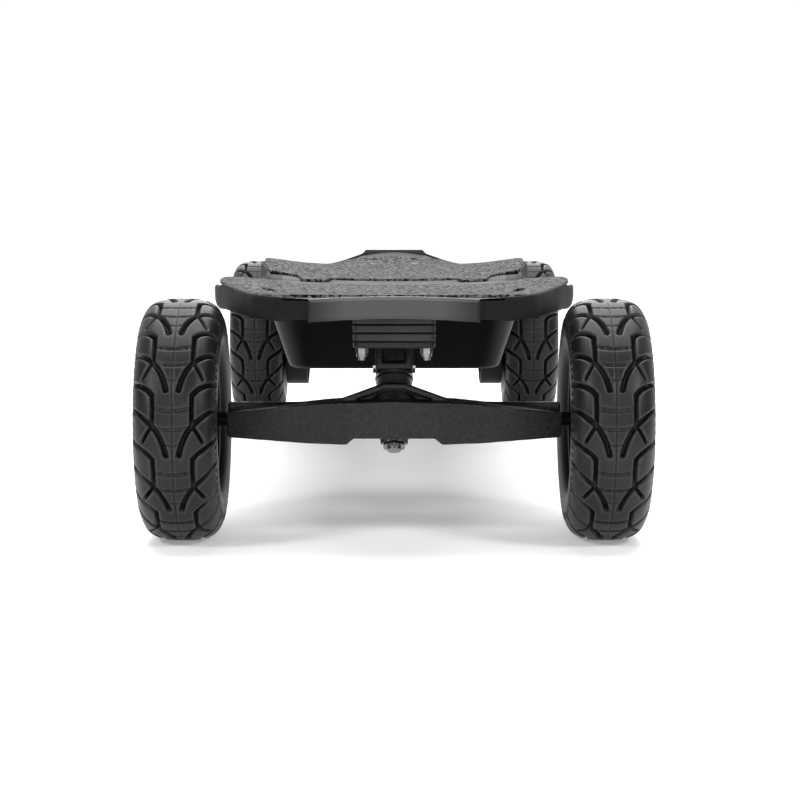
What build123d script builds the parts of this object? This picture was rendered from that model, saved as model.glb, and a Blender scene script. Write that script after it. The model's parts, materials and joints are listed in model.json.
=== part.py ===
from build123d import *
import os
from math import cos, pi, radians, sin, tan

os.makedirs("parts", exist_ok=True)

# All-terrain electric skateboard. Millimetres, +Z up, the nose towards -Y, the origin on the ground
# under the middle of the board.

# Driving dimensions
tyre_dia = 175.0
tyre_width = 59.0
wheelbase = 860.0
track = 304.0
deck_length = 1050.0
bumper_depth = 6.0
kingpin_rake = 30.0
drive_centres = 68.0

# Worked out from them
axle_z = tyre_dia / 2
wheel_x = track / 2
truck_y = wheelbase / 2
deck_end = deck_length / 2

# Deck, nose to tail: station, half width, edge height, centre height, underside height
deck_keys = (
    (-525.0, 80.0, 178.5, 180.0, 165.0),
    (-512.0, 91.0, 179.0, 179.5, 165.0),
    (-475.0, 103.5, 179.5, 176.5, 165.0),
    (-430.0, 114.5, 180.0, 173.0, 165.0),
    (-375.0, 128.5, 181.5, 170.5, 165.0),
    (-330.0, 137.5, 182.5, 169.0, 161.0),
    (-270.0, 140.5, 182.5, 168.0, 160.0),
    (-180.0, 134.0, 179.5, 168.0, 160.0),
    (-90.0, 124.0, 174.5, 168.3, 160.0),
    (0.0, 120.0, 172.0, 168.5, 160.0),
    (90.0, 124.0, 174.5, 168.3, 160.0),
    (200.0, 136.0, 180.0, 168.0, 160.0),
    (280.0, 139.0, 181.5, 168.5, 160.0),
    (330.0, 134.0, 179.5, 169.5, 161.0),
    (375.0, 115.0, 173.0, 170.5, 165.0),
    (410.0, 94.0, 168.8, 171.0, 165.0),
    (450.0, 74.0, 169.5, 174.0, 165.0),
    (490.0, 54.0, 174.0, 178.5, 165.0),
    (525.0, 40.0, 178.0, 183.0, 165.0),
)
station_step = 25.0
deck_flat_margin = 14.0
deck_edge_depth = 15.0
deck_edge_least = 5.0
grip_thickness = 2.0
grip_margin = 4.0
grip_gap = 0.05
slot_x = 94.0
slot_y = 362.0
bolt_seat_z = 170.5

# Enclosure under the deck
tub_half_width = 96.0
tub_half_length = 330.0
tub_top = 156.0
tub_bottom = 114.6
tub_taper = 19.0
tub_wall = 3.0
flange_reach = 10.0
flange_thick = 3.0
gasket_thick = 1.0
tub_screw_x = 101.0
tub_screw_r = 2.0
tub_screw_pitch = 100.0
tub_screws_long = 7

# Trucks: heights, then sizes along the kingpin axis from the middle of the hanger's eye
riser_layers = 3
pad_gap = 0.1
riser_width = 58.0
riser_length = 92.0
riser_top = 165.0
base_top = 147.0
base_thick = 5.0
post_width = 27.0
bolt_pitch_x = 46.0
bolt_pitch_y = 54.0
bolt_r = 2.5
hanger_eye_z = 97.0
eye_half = 9.0
eye_r = 21.0
apron_out = 27.5
pin_r = 5.0
bush_r = 13.0
bush_height = 12.0
washer_r = 14.0
washer_thick = 2.0
turn_gap = 0.3
axle_r = 5.0
axle_root = 45.0
axle_reach = 29.0
axle_nut_out = 22.4
axle_nut_flat = 16.0
front_beam_end = 120.5
rear_beam_end = 97.0

# Belt drive, as distances from the middle plane of the board
mount_inner = 88.0
mount_outer = 96.0
motor_inner = 20.0
motor_r = 31.5
pulley_inner = 104.0
pulley_outer = 118.0
cover_inner = 97.0
cover_outer = 121.0
cover_r = 51.0
cover_small_r = 22.5
cover_wall = 3.0
motor_screw_r = 2.0
motor_screw_circle = 16.0
shaft_r = 4.0
belt_pitch = 5.0
wheel_teeth = 45
motor_teeth = 15


def save(piece, name):
    """Label a finished piece and write it as its own STEP file."""
    piece.part.label = name
    export_step(piece.part, f"parts/{name}.step")


def smooth_between(column, y):
    """Read one deck measure at a station, on a curve that never overshoots its keys."""
    places = [row[0] for row in deck_keys]
    values = [row[column] for row in deck_keys]
    slopes = [(values[i + 1] - values[i]) / (places[i + 1] - places[i]) for i in range(len(places) - 1)]
    tangents = [slopes[0]]
    for before, after in zip(slopes, slopes[1:]):
        same_way = before * after > 0
        tangents.append(2 * before * after / (before + after) if same_way else 0.0)
    tangents.append(slopes[-1])
    i = max(k for k in range(len(slopes)) if y >= places[k] - 1e-9)
    span = places[i + 1] - places[i]
    t = (y - places[i]) / span
    rise = values[i] * (1 + 2 * t) * (1 - t) ** 2 + values[i + 1] * t * t * (3 - 2 * t)
    return rise + span * (tangents[i] * t * (1 - t) ** 2 - tangents[i + 1] * t * t * (1 - t))


def deck_at(y):
    """Half width, edge height, centre height and underside height of the deck at a station."""
    return [smooth_between(column, max(-deck_end, min(deck_end, y))) for column in (1, 2, 3, 4)]


def deck_top(x, y):
    """Height of the deck's top face: a parabola from the centre height out to the edge height."""
    half, edge, centre, _ = deck_at(y)
    return centre + (edge - centre) * min(1.0, abs(x) / half) ** 2


def top_points(y, reach, lift, to_right):
    """Five points across the top face, out to a reach, lifted off the deck."""
    steps = (-1.0, -0.5, 0.0, 0.5, 1.0) if to_right else (1.0, 0.5, 0.0, -0.5, -1.0)
    return [(reach * step, deck_top(reach * step, y) + lift) for step in steps]


def station_plane(y):
    """Upright plane across the board, local x to the right and local y up."""
    return Plane.XZ.offset(-y)


def stations(first, last):
    """Evenly spaced places along the board from one station to another."""
    count = round((last - first) / station_step)
    return [first + station_step * i for i in range(count + 1)]


# ---------------------------------------------------------------- deck and what lies on it
with BuildPart() as deck:
    for y in stations(-deck_end, deck_end):
        half, edge, centre, under = deck_at(y)
        low = min(max(under + 3.0, edge - deck_edge_depth), edge - deck_edge_least)
        flat = half - deck_flat_margin
        with BuildSketch(station_plane(y)):
            with BuildLine():
                Spline(*top_points(y, half - 2.0, 0.0, True))
                top_z = deck_top(half - 2.0, y)
                ThreePointArc((half - 2.0, top_z), (half, (top_z + low) / 2), (half - 3.0, low))
                Line((half - 3.0, low), (flat, under))
                Line((flat, under), (-flat, under))
                Line((-flat, under), (-half + 3.0, low))
                ThreePointArc((-half + 3.0, low), (-half, (top_z + low) / 2), (-half + 2.0, top_z))
            make_face()
    loft(ruled=True)
    # truck bolt holes with seats for the heads, then the holes for the enclosure's screws
    for end in (-1, 1):
        with BuildSketch(Plane.XY.offset(150.0).move(Location((0, end * truck_y, 0)))):
            with GridLocations(bolt_pitch_x, bolt_pitch_y, 2, 2):
                Circle(bolt_r + 0.1)
        extrude(amount=60.0, mode=Mode.SUBTRACT)
        with BuildSketch(Plane.XY.offset(bolt_seat_z).move(Location((0, end * truck_y, 0)))):
            with GridLocations(bolt_pitch_x, bolt_pitch_y, 2, 2):
                Circle(5.2)
        extrude(amount=40.0, mode=Mode.SUBTRACT)
    with BuildSketch(Plane.XY.offset(150.0)):
        with GridLocations(2 * tub_screw_x, tub_screw_pitch, 2, tub_screws_long):
            Circle(tub_screw_r + 0.05)
    extrude(amount=15.5, mode=Mode.SUBTRACT)
save(deck, "deck")

grip_nose = -500.0
grip_tail = 475.0
# right half of the bare middle: the nose pad's edge, then back along the tail pad's edge
bare_edge = ((0, -90), (45, -90), (80, -160), (116, -95), (150, -95), (150, 115), (116, 100), (92, 60),
             (84, -10), (64, -10), (58, 35), (0, 35))

with BuildPart() as grip_tape:
    for y in stations(grip_nose, grip_tail):
        half = deck_at(y)[0] - grip_margin
        with BuildSketch(station_plane(y)):
            with BuildLine():
                Spline(*top_points(y, half, grip_thickness, True))
                Line((half, deck_top(half, y) + grip_thickness), (half, deck_top(half, y) + grip_gap))
                Spline(*top_points(y, half, grip_gap, False))
                Line((-half, deck_top(half, y) + grip_gap), (-half, deck_top(half, y) + grip_thickness))
            make_face()
    loft(ruled=True)
    # the bare middle between the two pads
    with BuildSketch(Plane.XY.offset(150.0)):
        with BuildLine():
            Polyline(*bare_edge, close=True)
        make_face()
        mirror(about=Plane.YZ)
    extrude(amount=60.0, mode=Mode.SUBTRACT)
    for end in (-1, 1):
        with BuildSketch(Plane.XY.offset(150.0).move(Location((0, end * truck_y, 0)))):
            with GridLocations(bolt_pitch_x, bolt_pitch_y, 2, 2):
                Circle(5.4)
        extrude(amount=60.0, mode=Mode.SUBTRACT)
        for side in (-1, 1):
            with BuildSketch(Plane.XY.offset(150.0)):
                with Locations(Location((side * slot_x, end * slot_y), side * end * 6.0)):
                    SlotOverall(64.0, 9.0, rotation=90)
            extrude(amount=60.0, mode=Mode.SUBTRACT)
save(grip_tape, "grip_tape")

# half outlines of the bumpers in front view: distance from the middle, height
nose_bumper = ((58, 179.0), (58, 163.5))
tail_bumper = ((33, 185.0), (39, 179.0), (39, 165.5))
nose_crown = 181.0
nose_foot = 166.0

with BuildPart() as end_bumpers:
    with BuildSketch(station_plane(-deck_end)):
        with BuildLine():
            ThreePointArc((-58, 179.0), (0, nose_crown), nose_bumper[0])
            Polyline(*nose_bumper)
            ThreePointArc(nose_bumper[1], (0, nose_foot), (-58, 163.5))
            Line((-58, 163.5), (-58, 179.0))
        make_face()
    extrude(amount=bumper_depth)
    chamfer(end_bumpers.faces().sort_by(Axis.Y)[0].edges(), 2.0)
    with BuildSketch(station_plane(deck_end)):
        with BuildLine():
            Polyline(*tail_bumper, *[(-x, z) for x, z in tail_bumper[::-1]], close=True)
        make_face()
    extrude(amount=-bumper_depth)
    chamfer(end_bumpers.faces().sort_by(Axis.Y)[-1].edges(), 1.2)
save(end_bumpers, "end_bumpers")

# ---------------------------------------------------------------- enclosure and electronics
flange_z = tub_top
gasket_z = flange_z + flange_thick
port_y = 150.0
button_y = 215.0
fitting_z = 138.0
lead_r = 3.5
gland_r = 6.0
gland_reach = 8.0
lead_route = ((30, 475.4, 110.1), (33, 459, 127), (39, 430, 143), (44, 394, 150), (46, 362, 147),
              (46, tub_half_length - (tub_top - 140) * tan(radians(tub_taper)) + gland_reach, 140))
fitting_x = tub_half_width - (tub_top - fitting_z) * tan(radians(tub_taper))
port_r = 8.0
button_r = 7.5


def wall_plane(y):
    """Plane on the tub's sloping right-hand wall: local x to the tail, local y up the wall."""
    slope = radians(tub_taper)
    return Plane(origin=(fitting_x, y, fitting_z), x_dir=(0, 1, 0), z_dir=(cos(slope), 0, -sin(slope)))


def gland_plane(side):
    """Plane at the outer end of a lead gland, facing into the tub along the lead's last run."""
    last, end = Vector(*lead_route[-2]), Vector(*lead_route[-1])
    return Plane((side * end.X, end.Y, end.Z), z_dir=(0, end.Y - last.Y, end.Z - last.Z))


port_plane = wall_plane(port_y)
button_plane = wall_plane(button_y)

with BuildPart() as enclosure:
    with BuildSketch(Plane.XY.offset(tub_top)):
        RectangleRounded(2 * tub_half_width, 2 * tub_half_length, 34)
    extrude(amount=-(tub_top - tub_bottom), taper=tub_taper)
    fillet(enclosure.faces().sort_by(Axis.Z)[0].edges(), 5.0)
    with BuildSketch(Plane.XY.offset(tub_top)):
        RectangleRounded(2 * (tub_half_width + flange_reach), 2 * (tub_half_length + flange_reach), 44)
    extrude(amount=flange_thick)
    with BuildSketch(Plane.XY.offset(tub_top + flange_thick)):
        RectangleRounded(2 * (tub_half_width - tub_wall), 2 * (tub_half_length - tub_wall), 31)
    extrude(amount=-(tub_top + flange_thick - tub_bottom - tub_wall), taper=tub_taper * 0.93,
            mode=Mode.SUBTRACT)
    with BuildSketch(Plane.XY.offset(tub_top)):
        with GridLocations(2 * tub_screw_x, tub_screw_pitch, 2, tub_screws_long):
            Circle(tub_screw_r + 0.05)
    extrude(amount=flange_thick, mode=Mode.SUBTRACT)
    with BuildSketch(port_plane):
        Circle(port_r + 0.05)
    extrude(amount=12.0, both=True, mode=Mode.SUBTRACT)
    with BuildSketch(button_plane):
        Circle(button_r + 2.05)
    extrude(amount=12.0, both=True, mode=Mode.SUBTRACT)
    for side in (-1, 1):
        with BuildSketch(gland_plane(side)):
            Circle(gland_r + 0.05)
        extrude(amount=gland_reach + 10.0, mode=Mode.SUBTRACT)
save(enclosure, "enclosure")

with BuildPart() as gasket:
    with BuildSketch(Plane.XY.offset(gasket_z)):
        RectangleRounded(2 * (tub_half_width + flange_reach), 2 * (tub_half_length + flange_reach), 44)
        RectangleRounded(2 * (tub_half_width - 2), 2 * (tub_half_length - 2), 33, mode=Mode.SUBTRACT)
        with GridLocations(2 * tub_screw_x, tub_screw_pitch, 2, tub_screws_long):
            Circle(tub_screw_r + 0.05, mode=Mode.SUBTRACT)
    extrude(amount=gasket_thick)
save(gasket, "enclosure_gasket")

with BuildPart() as tub_screws:
    with BuildSketch(Plane.XY.offset(tub_top - 2.2)):
        with GridLocations(2 * tub_screw_x, tub_screw_pitch, 2, tub_screws_long):
            Circle(3.6)
    extrude(amount=2.2)
    with BuildSketch(Plane.XY.offset(tub_top)):
        with GridLocations(2 * tub_screw_x, tub_screw_pitch, 2, tub_screws_long):
            Circle(tub_screw_r)
    extrude(amount=9.0)
save(tub_screws, "enclosure_screws")

# Battery: lithium cells lying lengthwise, five rows of seven, under their management board
cell_r = 10.5
cell_length = 70.0
cell_start = 290.0
cell_rows = 5
cells_across = 7
board_y = -200.0
controller_y = 175.0
floor_z = tub_bottom + tub_wall + 0.5
with BuildPart() as cells:
    with BuildSketch(Plane.XZ.offset(cell_start)):
        with Locations((0, floor_z + cell_r)):
            with GridLocations(2 * cell_r + 0.3, 1, cells_across, 1):
                Circle(cell_r)
    extrude(amount=-cell_length)
    row = cells.part
    for step in range(1, cell_rows):
        add(row.moved(Location((0, step * (cell_length + 1.0), 0))))
save(cells, "battery_cells")

with BuildPart() as management_board:
    with BuildSketch(Plane.XY.offset(floor_z + 2 * cell_r + 1.5)):
        with Locations((0, board_y)):
            Rectangle(70, 120)
    extrude(amount=1.6)
    with BuildSketch(Plane.XY.offset(floor_z + 2 * cell_r + 3.1)):
        with Locations((0, board_y)):
            with GridLocations(14, 26, 4, 4):
                Rectangle(8, 10)
    extrude(amount=2.5)
save(management_board, "battery_management_board")

with BuildPart() as controller:
    with BuildSketch(Plane.XY.offset(floor_z)):
        with Locations((0, controller_y)):
            RectangleRounded(110, 150, 4)
    extrude(amount=20)
    with BuildSketch(Plane.XY.offset(floor_z + 20)):
        with Locations((0, controller_y)):
            with GridLocations(9, 1, 12, 1):
                Rectangle(3, 150)
    extrude(amount=8)
save(controller, "speed_controller")

with BuildPart() as receiver:
    with BuildSketch(Plane.XY.offset(floor_z)):
        with Locations((20, 280)):
            Rectangle(40, 26)
    extrude(amount=5)
save(receiver, "radio_receiver")

# the cap's pin stands above the port's rim
cap_pin_up = port_r + 4.0
cap_pin_out = 4.0
knuckle_r = 2.0
cap_pin = port_plane.from_local_coords((0, cap_pin_up, cap_pin_out))
pin_section = Plane(cap_pin, x_dir=(1, 0, 0), z_dir=(0, 1, 0))

with BuildPart() as charge_port:
    with BuildSketch(port_plane.offset(-14.0)):
        Circle(port_r)
    extrude(amount=14.0)
    with BuildSketch(port_plane):
        Circle(port_r + 3.0)
    extrude(amount=1.5)
    with BuildSketch(port_plane.offset(-10.0)):
        Circle(port_r - 2.0)
        Circle(1.2, mode=Mode.SUBTRACT)
    extrude(amount=12.0, mode=Mode.SUBTRACT)
    # two lugs above the rim carry the cap's pin
    with BuildSketch(port_plane):
        with Locations((4.6, cap_pin_up), (-4.6, cap_pin_up)):
            Rectangle(2.0, 5.0)
    extrude(amount=6.2)
    with BuildSketch(pin_section):
        Circle(1.05)
    extrude(amount=8.0, both=True, mode=Mode.SUBTRACT)
save(charge_port, "charge_port")

# Cap hinged above the charge port on its own pin, and the push button in its bezel
with BuildPart() as charge_cap:
    with BuildSketch(port_plane.offset(1.8)):
        Circle(9.5)
        with Locations((0, 9.0)):
            Rectangle(6.0, 4.0)
    extrude(amount=2.4)
    with BuildSketch(pin_section):
        Circle(knuckle_r)
    extrude(amount=3.2, both=True)
    with BuildSketch(pin_section):
        Circle(1.0)
    extrude(amount=5.5, both=True)
save(charge_cap, "charge_port_cap")

with BuildPart() as button_bezel:
    with BuildSketch(button_plane.offset(-8.0)):
        Circle(button_r + 2.0)
    extrude(amount=8.0)
    with BuildSketch(button_plane):
        Circle(button_r + 4.5)
    extrude(amount=1.5)
    with BuildSketch(button_plane.offset(-7.0)):
        Circle(button_r + 0.05)
    extrude(amount=10.0, mode=Mode.SUBTRACT)
save(button_bezel, "power_button_bezel")

with BuildPart() as power_button:
    with BuildSketch(button_plane.offset(-5.0)):
        Circle(button_r)
    extrude(amount=7.5)
    chamfer(power_button.faces().sort_by(Axis.X)[-1].edges(), 0.6)
save(power_button, "power_button")

# ---------------------------------------------------------------- trucks
rake = radians(kingpin_rake)
riser_thick = (riser_top - base_top) / riser_layers
post_face = eye_half + turn_gap + bush_height + washer_thick
pin_end = post_face + 11.5
nut_height = 9.0
nut_flat = 17.0
nut_well_r = 10.6
nut_collar = 2.5
cross_pin_up = 8.0


def side_plane(s):
    """Upright plane along the board through a truck: local x points off the board's end, y up."""
    return Plane(origin=(0, s * truck_y, 0), x_dir=(0, s, 0), z_dir=(s, 0, 0))


def pin_plane(s):
    """Plane square to a kingpin in the middle of the hanger's eye, facing down and off the end."""
    down = (0, s * sin(rake), -cos(rake))
    return Plane(origin=(0, s * truck_y, hanger_eye_z), x_dir=(1, 0, 0), z_dir=down)


def front_plane(s, out):
    """Upright plane across the board through a truck: local x right, y up, a distance off the axle."""
    return Plane(origin=(0, s * (truck_y + out), 0), x_dir=(1, 0, 0), z_dir=(0, -1, 0))


def side_up_plane(s):
    """Level plane on the ground under a truck: local x across the board, y off the board's end."""
    return Plane(origin=(0, s * truck_y, 0), x_dir=(s, 0, 0), z_dir=(0, 0, 1))


def bolt_grid():
    """The four truck bolts' places in a level sketch."""
    return GridLocations(bolt_pitch_x, bolt_pitch_y, 2, 2)


with BuildPart() as risers:
    for s in (-1, 1):
        for layer in range(riser_layers):
            with BuildSketch(Plane(origin=(0, s * truck_y, base_top + layer * riser_thick))):
                RectangleRounded(riser_width, riser_length, 5)
                with bolt_grid():
                    Circle(bolt_r + 0.1, mode=Mode.SUBTRACT)
            extrude(amount=riser_thick - pad_gap)
save(risers, "risers")

with BuildPart() as base_plates:
    for s in (-1, 1):
        pin = pin_plane(s)
        under = Plane(origin=(0, s * truck_y, base_top - base_thick))
        with BuildSketch(under):
            RectangleRounded(riser_width, riser_length - 2, 6)
        extrude(amount=base_thick)
        chamfer(base_plates.faces(Select.LAST).sort_by(Axis.Z)[0].edges(), 1.0)
        # the post: a raked block between the plate and the upper bushing
        foot = pin.origin - pin.z_dir * post_face
        out = foot.Y * s - truck_y
        across = (post_width / 2 * cos(rake), post_width / 2 * sin(rake))
        with BuildSketch(side_plane(s)):
            with BuildLine():
                Polyline((out + across[0], foot.Z + across[1]), (out + 8.0, base_top - base_thick),
                         (out - 32.0, base_top - base_thick), (out - across[0], foot.Z - across[1]),
                         close=True)
            make_face()
        extrude(amount=post_width / 2, both=True)
        # a shallow recess between two side walls on the post's outer face
        with BuildSketch(side_plane(s)):
            with BuildLine():
                Polyline((out + across[0] + 6.0, foot.Z + across[1] + 5.0),
                         (out + 14.0, base_top - base_thick), (out + 4.5, base_top - base_thick),
                         (out + across[0] - 3.0, foot.Z + across[1] + 5.0), close=True)
            make_face()
        extrude(amount=post_width / 2 - 5.0, both=True, mode=Mode.SUBTRACT)
        with BuildSketch(pin.offset(-post_face - 2)):
            Circle(pin_r + 0.05)
        extrude(amount=-60.0, both=True, mode=Mode.SUBTRACT)
        with BuildSketch(under):
            with bolt_grid():
                Circle(bolt_r + 0.1)
        extrude(amount=base_thick, mode=Mode.SUBTRACT)
        cross = pin.origin - pin.z_dir * (post_face + cross_pin_up)
        with BuildSketch(Plane(cross, x_dir=(0, 1, 0), z_dir=(1, 0, 0))):
            Circle(2.55)
        extrude(amount=20.0, both=True, mode=Mode.SUBTRACT)
save(base_plates, "truck_base_plates")

with BuildPart() as bushings:
    for s in (-1, 1):
        pin = pin_plane(s)
        with BuildSketch(pin.offset(-eye_half - turn_gap - bush_height)):
            Circle(bush_r)
            Circle(pin_r + 0.05, mode=Mode.SUBTRACT)
        extrude(amount=bush_height)
        rims = bushings.edges(Select.LAST).filter_by(GeomType.CIRCLE)
        wide_rims = rims.filter_by(lambda e: e.radius > 11)
        chamfer(wide_rims, 1.2)
        with BuildSketch(pin.offset(eye_half + turn_gap)):
            Circle(bush_r - 0.6)
            Circle(pin_r + 0.05, mode=Mode.SUBTRACT)
        extrude(amount=bush_height)
save(bushings, "bushings")

# half outline of the web over the beam, and the inner line of its rim
web_outline = ((0, 98.0), (50.0, 98.0), (50.0, 99.5), (7.0, 115.0), (0, 115.0))
web_inside = ((0, 111.5), (6.0, 111.5), (36.0, 100.5), (36.0, 99.0), (0, 99.0))

for end, s in (("front", -1), ("rear", 1)):
    pin = pin_plane(s)
    beam_end = front_beam_end if s < 0 else rear_beam_end
    with BuildPart() as hanger:
        # the beam: its outline from the front, kept inside its outline from above
        with BuildSketch(front_plane(s, 0.0)):
            with BuildLine():
                Polyline((0, 103.0), (46.0, 101.5), (beam_end, 94.0), (beam_end, 75.8), (60.0, 72.2),
                         (34.0, 71.9), (29.0, 76.3), (0, 76.3), close=True)
            make_face()
            mirror(about=Plane.YZ)
        extrude(amount=40.0, both=True)
        with BuildSketch(side_up_plane(s)):
            with BuildLine():
                Polyline((0, apron_out), (32.0, apron_out), (beam_end, 14.0), (beam_end, -10.5),
                         (60.0, -12.5), (27.0, -17.0), (0, -17.0), close=True)
            make_face()
            mirror(about=Plane.YZ)
        extrude(amount=120.0, mode=Mode.INTERSECT)
        # the level rail along the back of the beam
        with BuildSketch(front_plane(s, -10.0)):
            with Locations((0, 94.0)):
                Rectangle(2 * beam_end, 11.0)
        extrude(amount=8.0 * -s)
        with BuildSketch(pin.offset(-eye_half)):
            Circle(eye_r)
        extrude(amount=2 * eye_half)
        # web up to the eye, and the raised rim round it
        for outline, depth in ((web_outline, 5.0), (web_outline + web_inside, 12.0)):
            with BuildSketch(front_plane(s, 8.0)):
                with BuildLine():
                    Polyline(*outline, close=True)
                make_face()
                mirror(about=Plane.YZ)
            extrude(amount=depth * -s)
        with BuildSketch(pin.offset(-eye_half)):
            Circle(bush_r + 2.0)
        extrude(amount=-40.0, mode=Mode.SUBTRACT)
        with BuildSketch(pin.offset(eye_half)):
            Circle(bush_r + 1.0)
        extrude(amount=turn_gap + bush_height + washer_thick + 0.5, mode=Mode.SUBTRACT)
        with BuildSketch(pin.offset(post_face)):
            Circle(nut_well_r)
        extrude(amount=40.0, mode=Mode.SUBTRACT)
        with BuildSketch(pin):
            Circle(8.0)
        extrude(amount=60.0, both=True, mode=Mode.SUBTRACT)
        for side in (-1, 1):
            with BuildSketch(Plane(origin=(side * axle_root, s * truck_y, axle_z), x_dir=(0, 1, 0),
                                   z_dir=(side, 0, 0))):
                Circle(axle_r)
            extrude(amount=100.0, mode=Mode.SUBTRACT)
            if s > 0:
                with BuildSketch(Plane(origin=(side * (mount_inner - 6.0), s * truck_y, axle_z),
                                       x_dir=(0, 1, 0), z_dir=(side, 0, 0))):
                    Circle(30.0)
                    Circle(8.0, mode=Mode.SUBTRACT)
                extrude(amount=30.0, mode=Mode.SUBTRACT)
    save(hanger, f"{end}_hanger")

    with BuildPart() as axles:
        for side in (-1, 1):
            with BuildSketch(Plane(origin=(side * axle_root, s * truck_y, axle_z), x_dir=(0, 1, 0),
                                   z_dir=(side, 0, 0))):
                Circle(axle_r)
            extrude(amount=wheel_x + axle_reach - axle_root)
    save(axles, f"{end}_axles")

    with BuildPart() as axle_nuts:
        for side in (-1, 1):
            with BuildSketch(Plane(origin=(side * (wheel_x + axle_nut_out), s * truck_y, axle_z),
                                   x_dir=(0, 1, 0), z_dir=(side, 0, 0))):
                RegularPolygon(axle_nut_flat / 2, 6, major_radius=False)
                Circle(axle_r, mode=Mode.SUBTRACT)
            extrude(amount=6.0)
    save(axle_nuts, f"{end}_axle_nuts")

with BuildPart() as truck_bolts:
    for s in (-1, 1):
        level = Plane(origin=(0, s * truck_y, 0))
        with BuildSketch(level.offset(base_top - base_thick - 9.5)):
            with bolt_grid():
                Circle(bolt_r)
        extrude(amount=bolt_seat_z - (base_top - base_thick - 9.5))
        with BuildSketch(level.offset(bolt_seat_z)):
            with bolt_grid():
                Circle(4.8)
                RegularPolygon(1.8, 6, mode=Mode.SUBTRACT)
        extrude(amount=2.6)
save(truck_bolts, "truck_bolts")

with BuildPart() as truck_nuts:
    for s in (-1, 1):
        with BuildSketch(Plane(origin=(0, s * truck_y, base_top - base_thick))):
            with bolt_grid():
                RegularPolygon(4.0, 6, major_radius=False)
                Circle(bolt_r, mode=Mode.SUBTRACT)
        extrude(amount=-5.0)
        with BuildSketch(Plane(origin=(0, s * truck_y, base_top - base_thick - 5.0))):
            with bolt_grid():
                Circle(3.7)
                Circle(bolt_r, mode=Mode.SUBTRACT)
        extrude(amount=-2.0)
save(truck_nuts, "truck_nuts")

with BuildPart() as kingpins:
    for s in (-1, 1):
        with BuildSketch(pin_plane(s).offset(-post_face - 14.0)):
            Circle(pin_r)
        extrude(amount=post_face + 14.0 + pin_end)
save(kingpins, "kingpins")

with BuildPart() as cross_pins:
    for s in (-1, 1):
        pin = pin_plane(s)
        at = pin.origin - pin.z_dir * (post_face + cross_pin_up)
        for side in (-1, 1):
            with BuildSketch(Plane(at + Vector(side * pin_r, 0, 0), x_dir=(0, 1, 0), z_dir=(side, 0, 0))):
                Circle(2.5)
            extrude(amount=post_width / 2 - pin_r)
            with BuildSketch(Plane(at + Vector(side * post_width / 2, 0, 0), x_dir=(0, 1, 0),
                                   z_dir=(side, 0, 0))):
                Circle(4.5)
            extrude(amount=2.0)
save(cross_pins, "kingpin_cross_pins")

with BuildPart() as kingpin_nuts:
    for s in (-1, 1):
        with BuildSketch(pin_plane(s).offset(post_face)):
            RegularPolygon(nut_flat / 2, 6, major_radius=False)
            Circle(pin_r, mode=Mode.SUBTRACT)
        extrude(amount=nut_height - nut_collar)
        with BuildSketch(pin_plane(s).offset(post_face + nut_height - nut_collar)):
            Circle(nut_flat / 2 - 0.5)
            Circle(pin_r, mode=Mode.SUBTRACT)
        extrude(amount=nut_collar)
save(kingpin_nuts, "kingpin_nuts")

with BuildPart() as washers:
    for s in (-1, 1):
        for start in (-post_face, post_face - washer_thick):
            with BuildSketch(pin_plane(s).offset(start)):
                Circle(washer_r if start < 0 else 12.5)
                Circle(pin_r + 0.05, mode=Mode.SUBTRACT)
            extrude(amount=washer_thick)
save(washers, "bushing_washers")

with BuildPart() as pivot_bushes:
    for s in (-1, 1):
        with BuildSketch(pin_plane(s).offset(-eye_half - turn_gap)):
            Circle(7.95)
            Circle(pin_r + 0.02, mode=Mode.SUBTRACT)
        extrude(amount=2 * (eye_half + turn_gap))
save(pivot_bushes, "pivot_bushes")

# ---------------------------------------------------------------- wheels
rim_r = 41.0
bead_r = 44.0
tread_half = tyre_width / 2
bearing_r = 13.0
bearing_width = 8.0
hub_half = 22.0
spokes = 5
# half outlines of the tyre, from the bead out and round to the crown: distance from its middle, radius
tyre_outside = ((20, 49), (26.5, 54), (tread_half - 0.1, 63), (28.6, 72), (24.5, 80.5), (15, 86.0),
                (0, tyre_dia / 2))
tyre_inside = ((14.5, bead_r), (15.5, 50), (22.5, 56), (24.6, 63), (23.8, 70), (18, 77.5), (0, 80.5))
wheel_names = {(-1, -1): "front_left", (1, -1): "front_right", (-1, 1): "rear_left", (1, 1): "rear_right"}


def wheel_section(side, s):
    """Half-plane through a wheel: local x points away from the board, local y is the radius."""
    return Plane(origin=(side * wheel_x, s * truck_y, axle_z), x_dir=(side, 0, 0), z_dir=(0, -side, 0))


def wheel_face(side, s, out):
    """Plane across a wheel's axle, a distance outboard of the tyre's middle."""
    return Plane(origin=(side * (wheel_x + out), s * truck_y, axle_z), x_dir=(0, 1, 0), z_dir=(side, 0, 0))


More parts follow.
